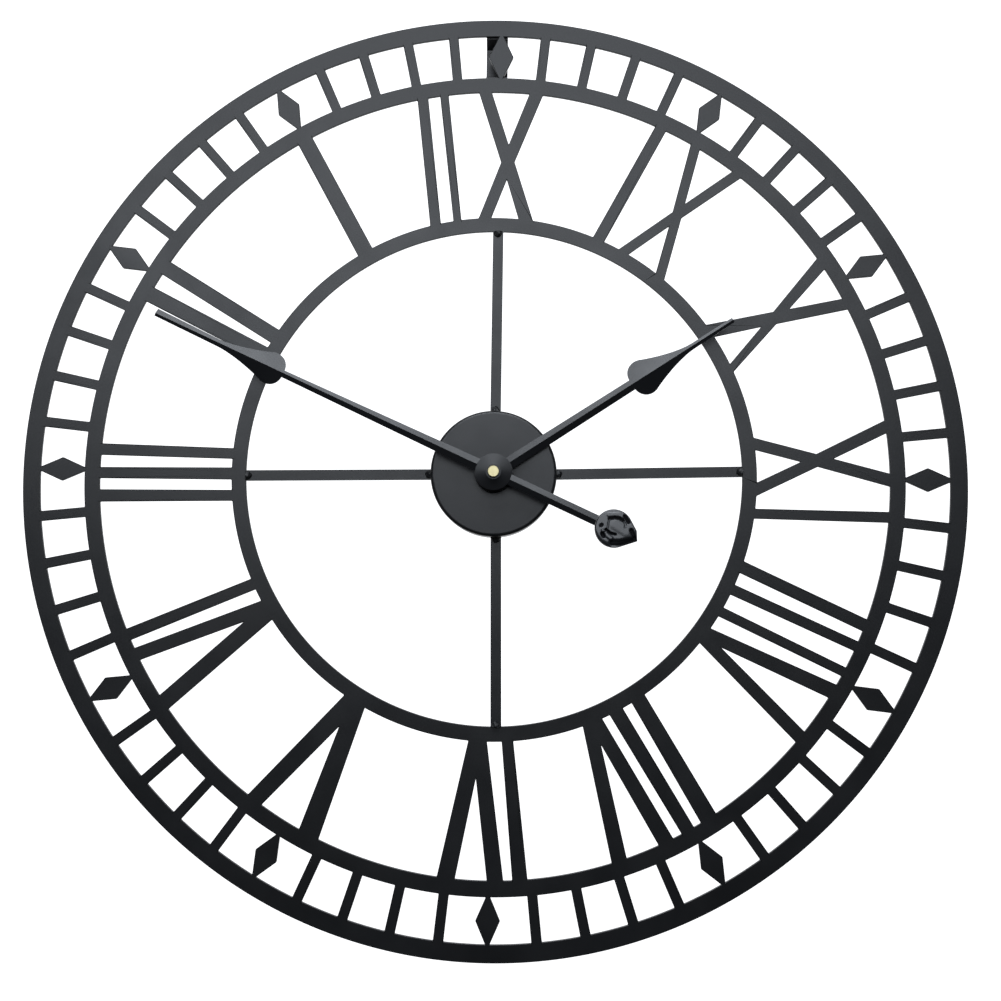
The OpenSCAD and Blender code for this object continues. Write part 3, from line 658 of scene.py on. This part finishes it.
def cover_marks():
    """Moulded marks on the back cover: a turning arrow around the knob, plus and minus, and rings."""
    low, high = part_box("back_cover")
    knob = centre_of("setting_knob")
    height = 0.25 * MM
    bm = bmesh.new()

    def around(centre, r, angle):
        return centre.x + r * math.cos(angle), centre.z + r * math.sin(angle)

    def arc(centre, r_in, r_out, start, end, steps=40):
        turn = [math.radians(start + (end - start) * i / steps) for i in range(steps + 1)]
        outer = [around(centre, r_out, a) for a in turn]
        inner = [around(centre, r_in, a) for a in reversed(turn)]
        raised_shape(bm, outer + inner, high.y, height)

    def bar(x, z, half_w, half_h):
        corners = [(x - half_w, z - half_h), (x + half_w, z - half_h)]
        corners += [(x + half_w, z + half_h), (x - half_w, z + half_h)]
        raised_shape(bm, corners, high.y, height)

    arrow_start, arrow_end = 110, 250
    arc(knob, 7.4 * MM, 8.0 * MM, arrow_start, arrow_end)
    head = math.radians(arrow_end)
    arrow_head = [(6.9, head), (8.5, head), (7.7, head + 0.28)]
    raised_shape(bm, [around(knob, r * MM, a) for r, a in arrow_head], high.y, height)

    sign_x = 21 * MM
    sign_z = low.z + 3.2 * MM
    half_length = 1.8 * MM
    half_line = 0.35 * MM
    for side in (-1, 1):
        bar(axis.x + side * sign_x, sign_z, half_length, half_line)
    upright = (half_length - half_line) / 2
    for way in (1, -1):
        bar(axis.x + sign_x, sign_z + way * (half_line + upright), half_line, upright)

    for x, z in ((-8, 14), (20, 14), (4, -6)):
        spot = Vector((axis.x + x * MM, 0, axis.z + z * MM))
        arc(spot, 1.9 * MM, 2.2 * MM, 0, 350)
    bmesh.ops.recalc_face_normals(bm, faces=bm.faces)
    marks = new_piece("cover_marks", bm, black_plastic)
    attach(marks, "clock_frame")


battery_cell()
cover_marks()


# ---------------------------------------------------------------- edges of the CAD nodes

# Each node with the width of its rounded edges in millimetres
ROUNDED_NODES = {
    "minute_hub": 0.4, "hour_hub": 0.4, "hand_nut": 0.15, "hanger_plate": 0.3, "hex_nut": 0.25,
    "spokes": 0.4, "hour_hand": 0.12, "minute_hand": 0.12, "movement_case": 0.35, "back_cover": 0.3,
    "setting_knob": 0.2, "rubber_washer": 0.2, "battery_contact_plus": 0.08,
}
for node_name, edge_width in ROUNDED_NODES.items():
    bevel(frame["nodes"][node_name], edge_width * MM)


# ---------------------------------------------------------------- room, light and camera

def stage_plane(name, centre, right, up, material):
    """A flat sheet of the stage, which reaches as far as right and up on both sides of its centre."""
    bm = bmesh.new()
    corners = [centre + right * a + up * b for a, b in ((-1, -1), (1, -1), (1, 1), (-1, 1))]
    bm.faces.new([bm.verts.new(c) for c in corners])
    new_piece(name, bm, material)


def glowing(name, color, strength):
    """A pale material that gives off an even light."""
    material = bpy.data.materials.new(name)
    material.use_nodes = True
    shader = material.node_tree.nodes["Principled BSDF"]
    shader.inputs["Base Color"].default_value = (*color, 1)
    shader.inputs["Emission Color"].default_value = (*color, 1)
    shader.inputs["Emission Strength"].default_value = strength
    return material


COOL_DAYLIGHT = (0.93, 0.985, 1.06)


def soft_light(name, shape, place, target, width, height, radiance):
    """An area light whose surface has the given radiance; its place and target are from the hand axis."""
    light = bpy.data.lights.new(name, "AREA")
    light.shape = shape
    light.size = width
    light.size_y = height
    light.color = COOL_DAYLIGHT
    area = width * height * (math.pi / 4 if shape == "ELLIPSE" else 1)
    light.energy = radiance * math.pi * area
    lamp = bpy.data.objects.new(name, light)
    bpy.context.scene.collection.objects.link(lamp)
    lamp.location = axis + Vector(place)
    aim = axis + Vector(target) - lamp.location
    lamp.rotation_euler = aim.to_track_quat("-Z", "Z").to_euler()


backdrop_white = glowing("backdrop_white", (0.8, 0.8, 0.8), 1.3)
stage_plane("backdrop", axis + Vector((0, 1.6, 0)), Vector((4, 0, 0)), Vector((0, 0, 4)), backdrop_white)

# The umbrella gives the flat sheet its sheen, and the box above it lights the upper slopes of the hands.
soft_light("front_umbrella", "ELLIPSE", (-0.22, -2.2, 0.73), (-0.22, 0, 0.73), 2.7, 1.22, 2.9)
soft_light("top_soft_box", "RECTANGLE", (-0.05, -2.1, 2.5), (0, 0, 0), 2.9, 0.9, 8.0)


def room():
    """A dim room for the object's reflections, which looks pale to the camera past the backdrop."""
    world = bpy.data.worlds.new("room")
    world.use_nodes = True
    tree = world.node_tree
    dim = tree.nodes["Background"]
    dim.inputs["Color"].default_value = (0.5, 0.5, 0.52, 1)
    dim.inputs["Strength"].default_value = 0.03
    pale = tree.nodes.new("ShaderNodeBackground")
    pale.inputs["Color"].default_value = (0.86, 0.86, 0.87, 1)
    mix = tree.nodes.new("ShaderNodeMixShader")
    rays = tree.nodes.new("ShaderNodeLightPath")
    tree.links.new(rays.outputs["Is Camera Ray"], mix.inputs["Fac"])
    tree.links.new(dim.outputs["Background"], mix.inputs[1])
    tree.links.new(pale.outputs["Background"], mix.inputs[2])
    tree.links.new(mix.outputs["Shader"], tree.nodes["World Output"].inputs["Surface"])
    bpy.context.scene.world = world


room()


def place_camera():
    """The viewer stands 0.76 m in front of the dial, a little to the right and below the hand axis."""
    distance = 759.5 * MM
    right = 7.5 * MM
    below = 61.2 * MM
    pan = math.radians(-0.64)
    tilt = math.radians(5.44)
    roll = math.radians(0.79)
    camera = bpy.data.cameras.new("camera")
    camera.sensor_width = 36
    camera.lens = 43.16
    camera.shift_x = 0.0081
    camera.shift_y = -0.0435
    camera.clip_start = 0.01
    stand = bpy.data.objects.new("camera", camera)
    bpy.context.scene.collection.objects.link(stand)
    spot = Vector((axis.x + right, face_y - distance, axis.z - below))
    turn = Matrix.Rotation(-pan, 4, "Z")
    turn = turn @ Matrix.Rotation(math.pi / 2 + tilt, 4, "X")
    turn = turn @ Matrix.Rotation(roll, 4, "Z")
    stand.matrix_world = Matrix.Translation(spot) @ turn
    bpy.context.scene.camera = stand


place_camera()
bpy.context.scene.view_settings.view_transform = "Standard"
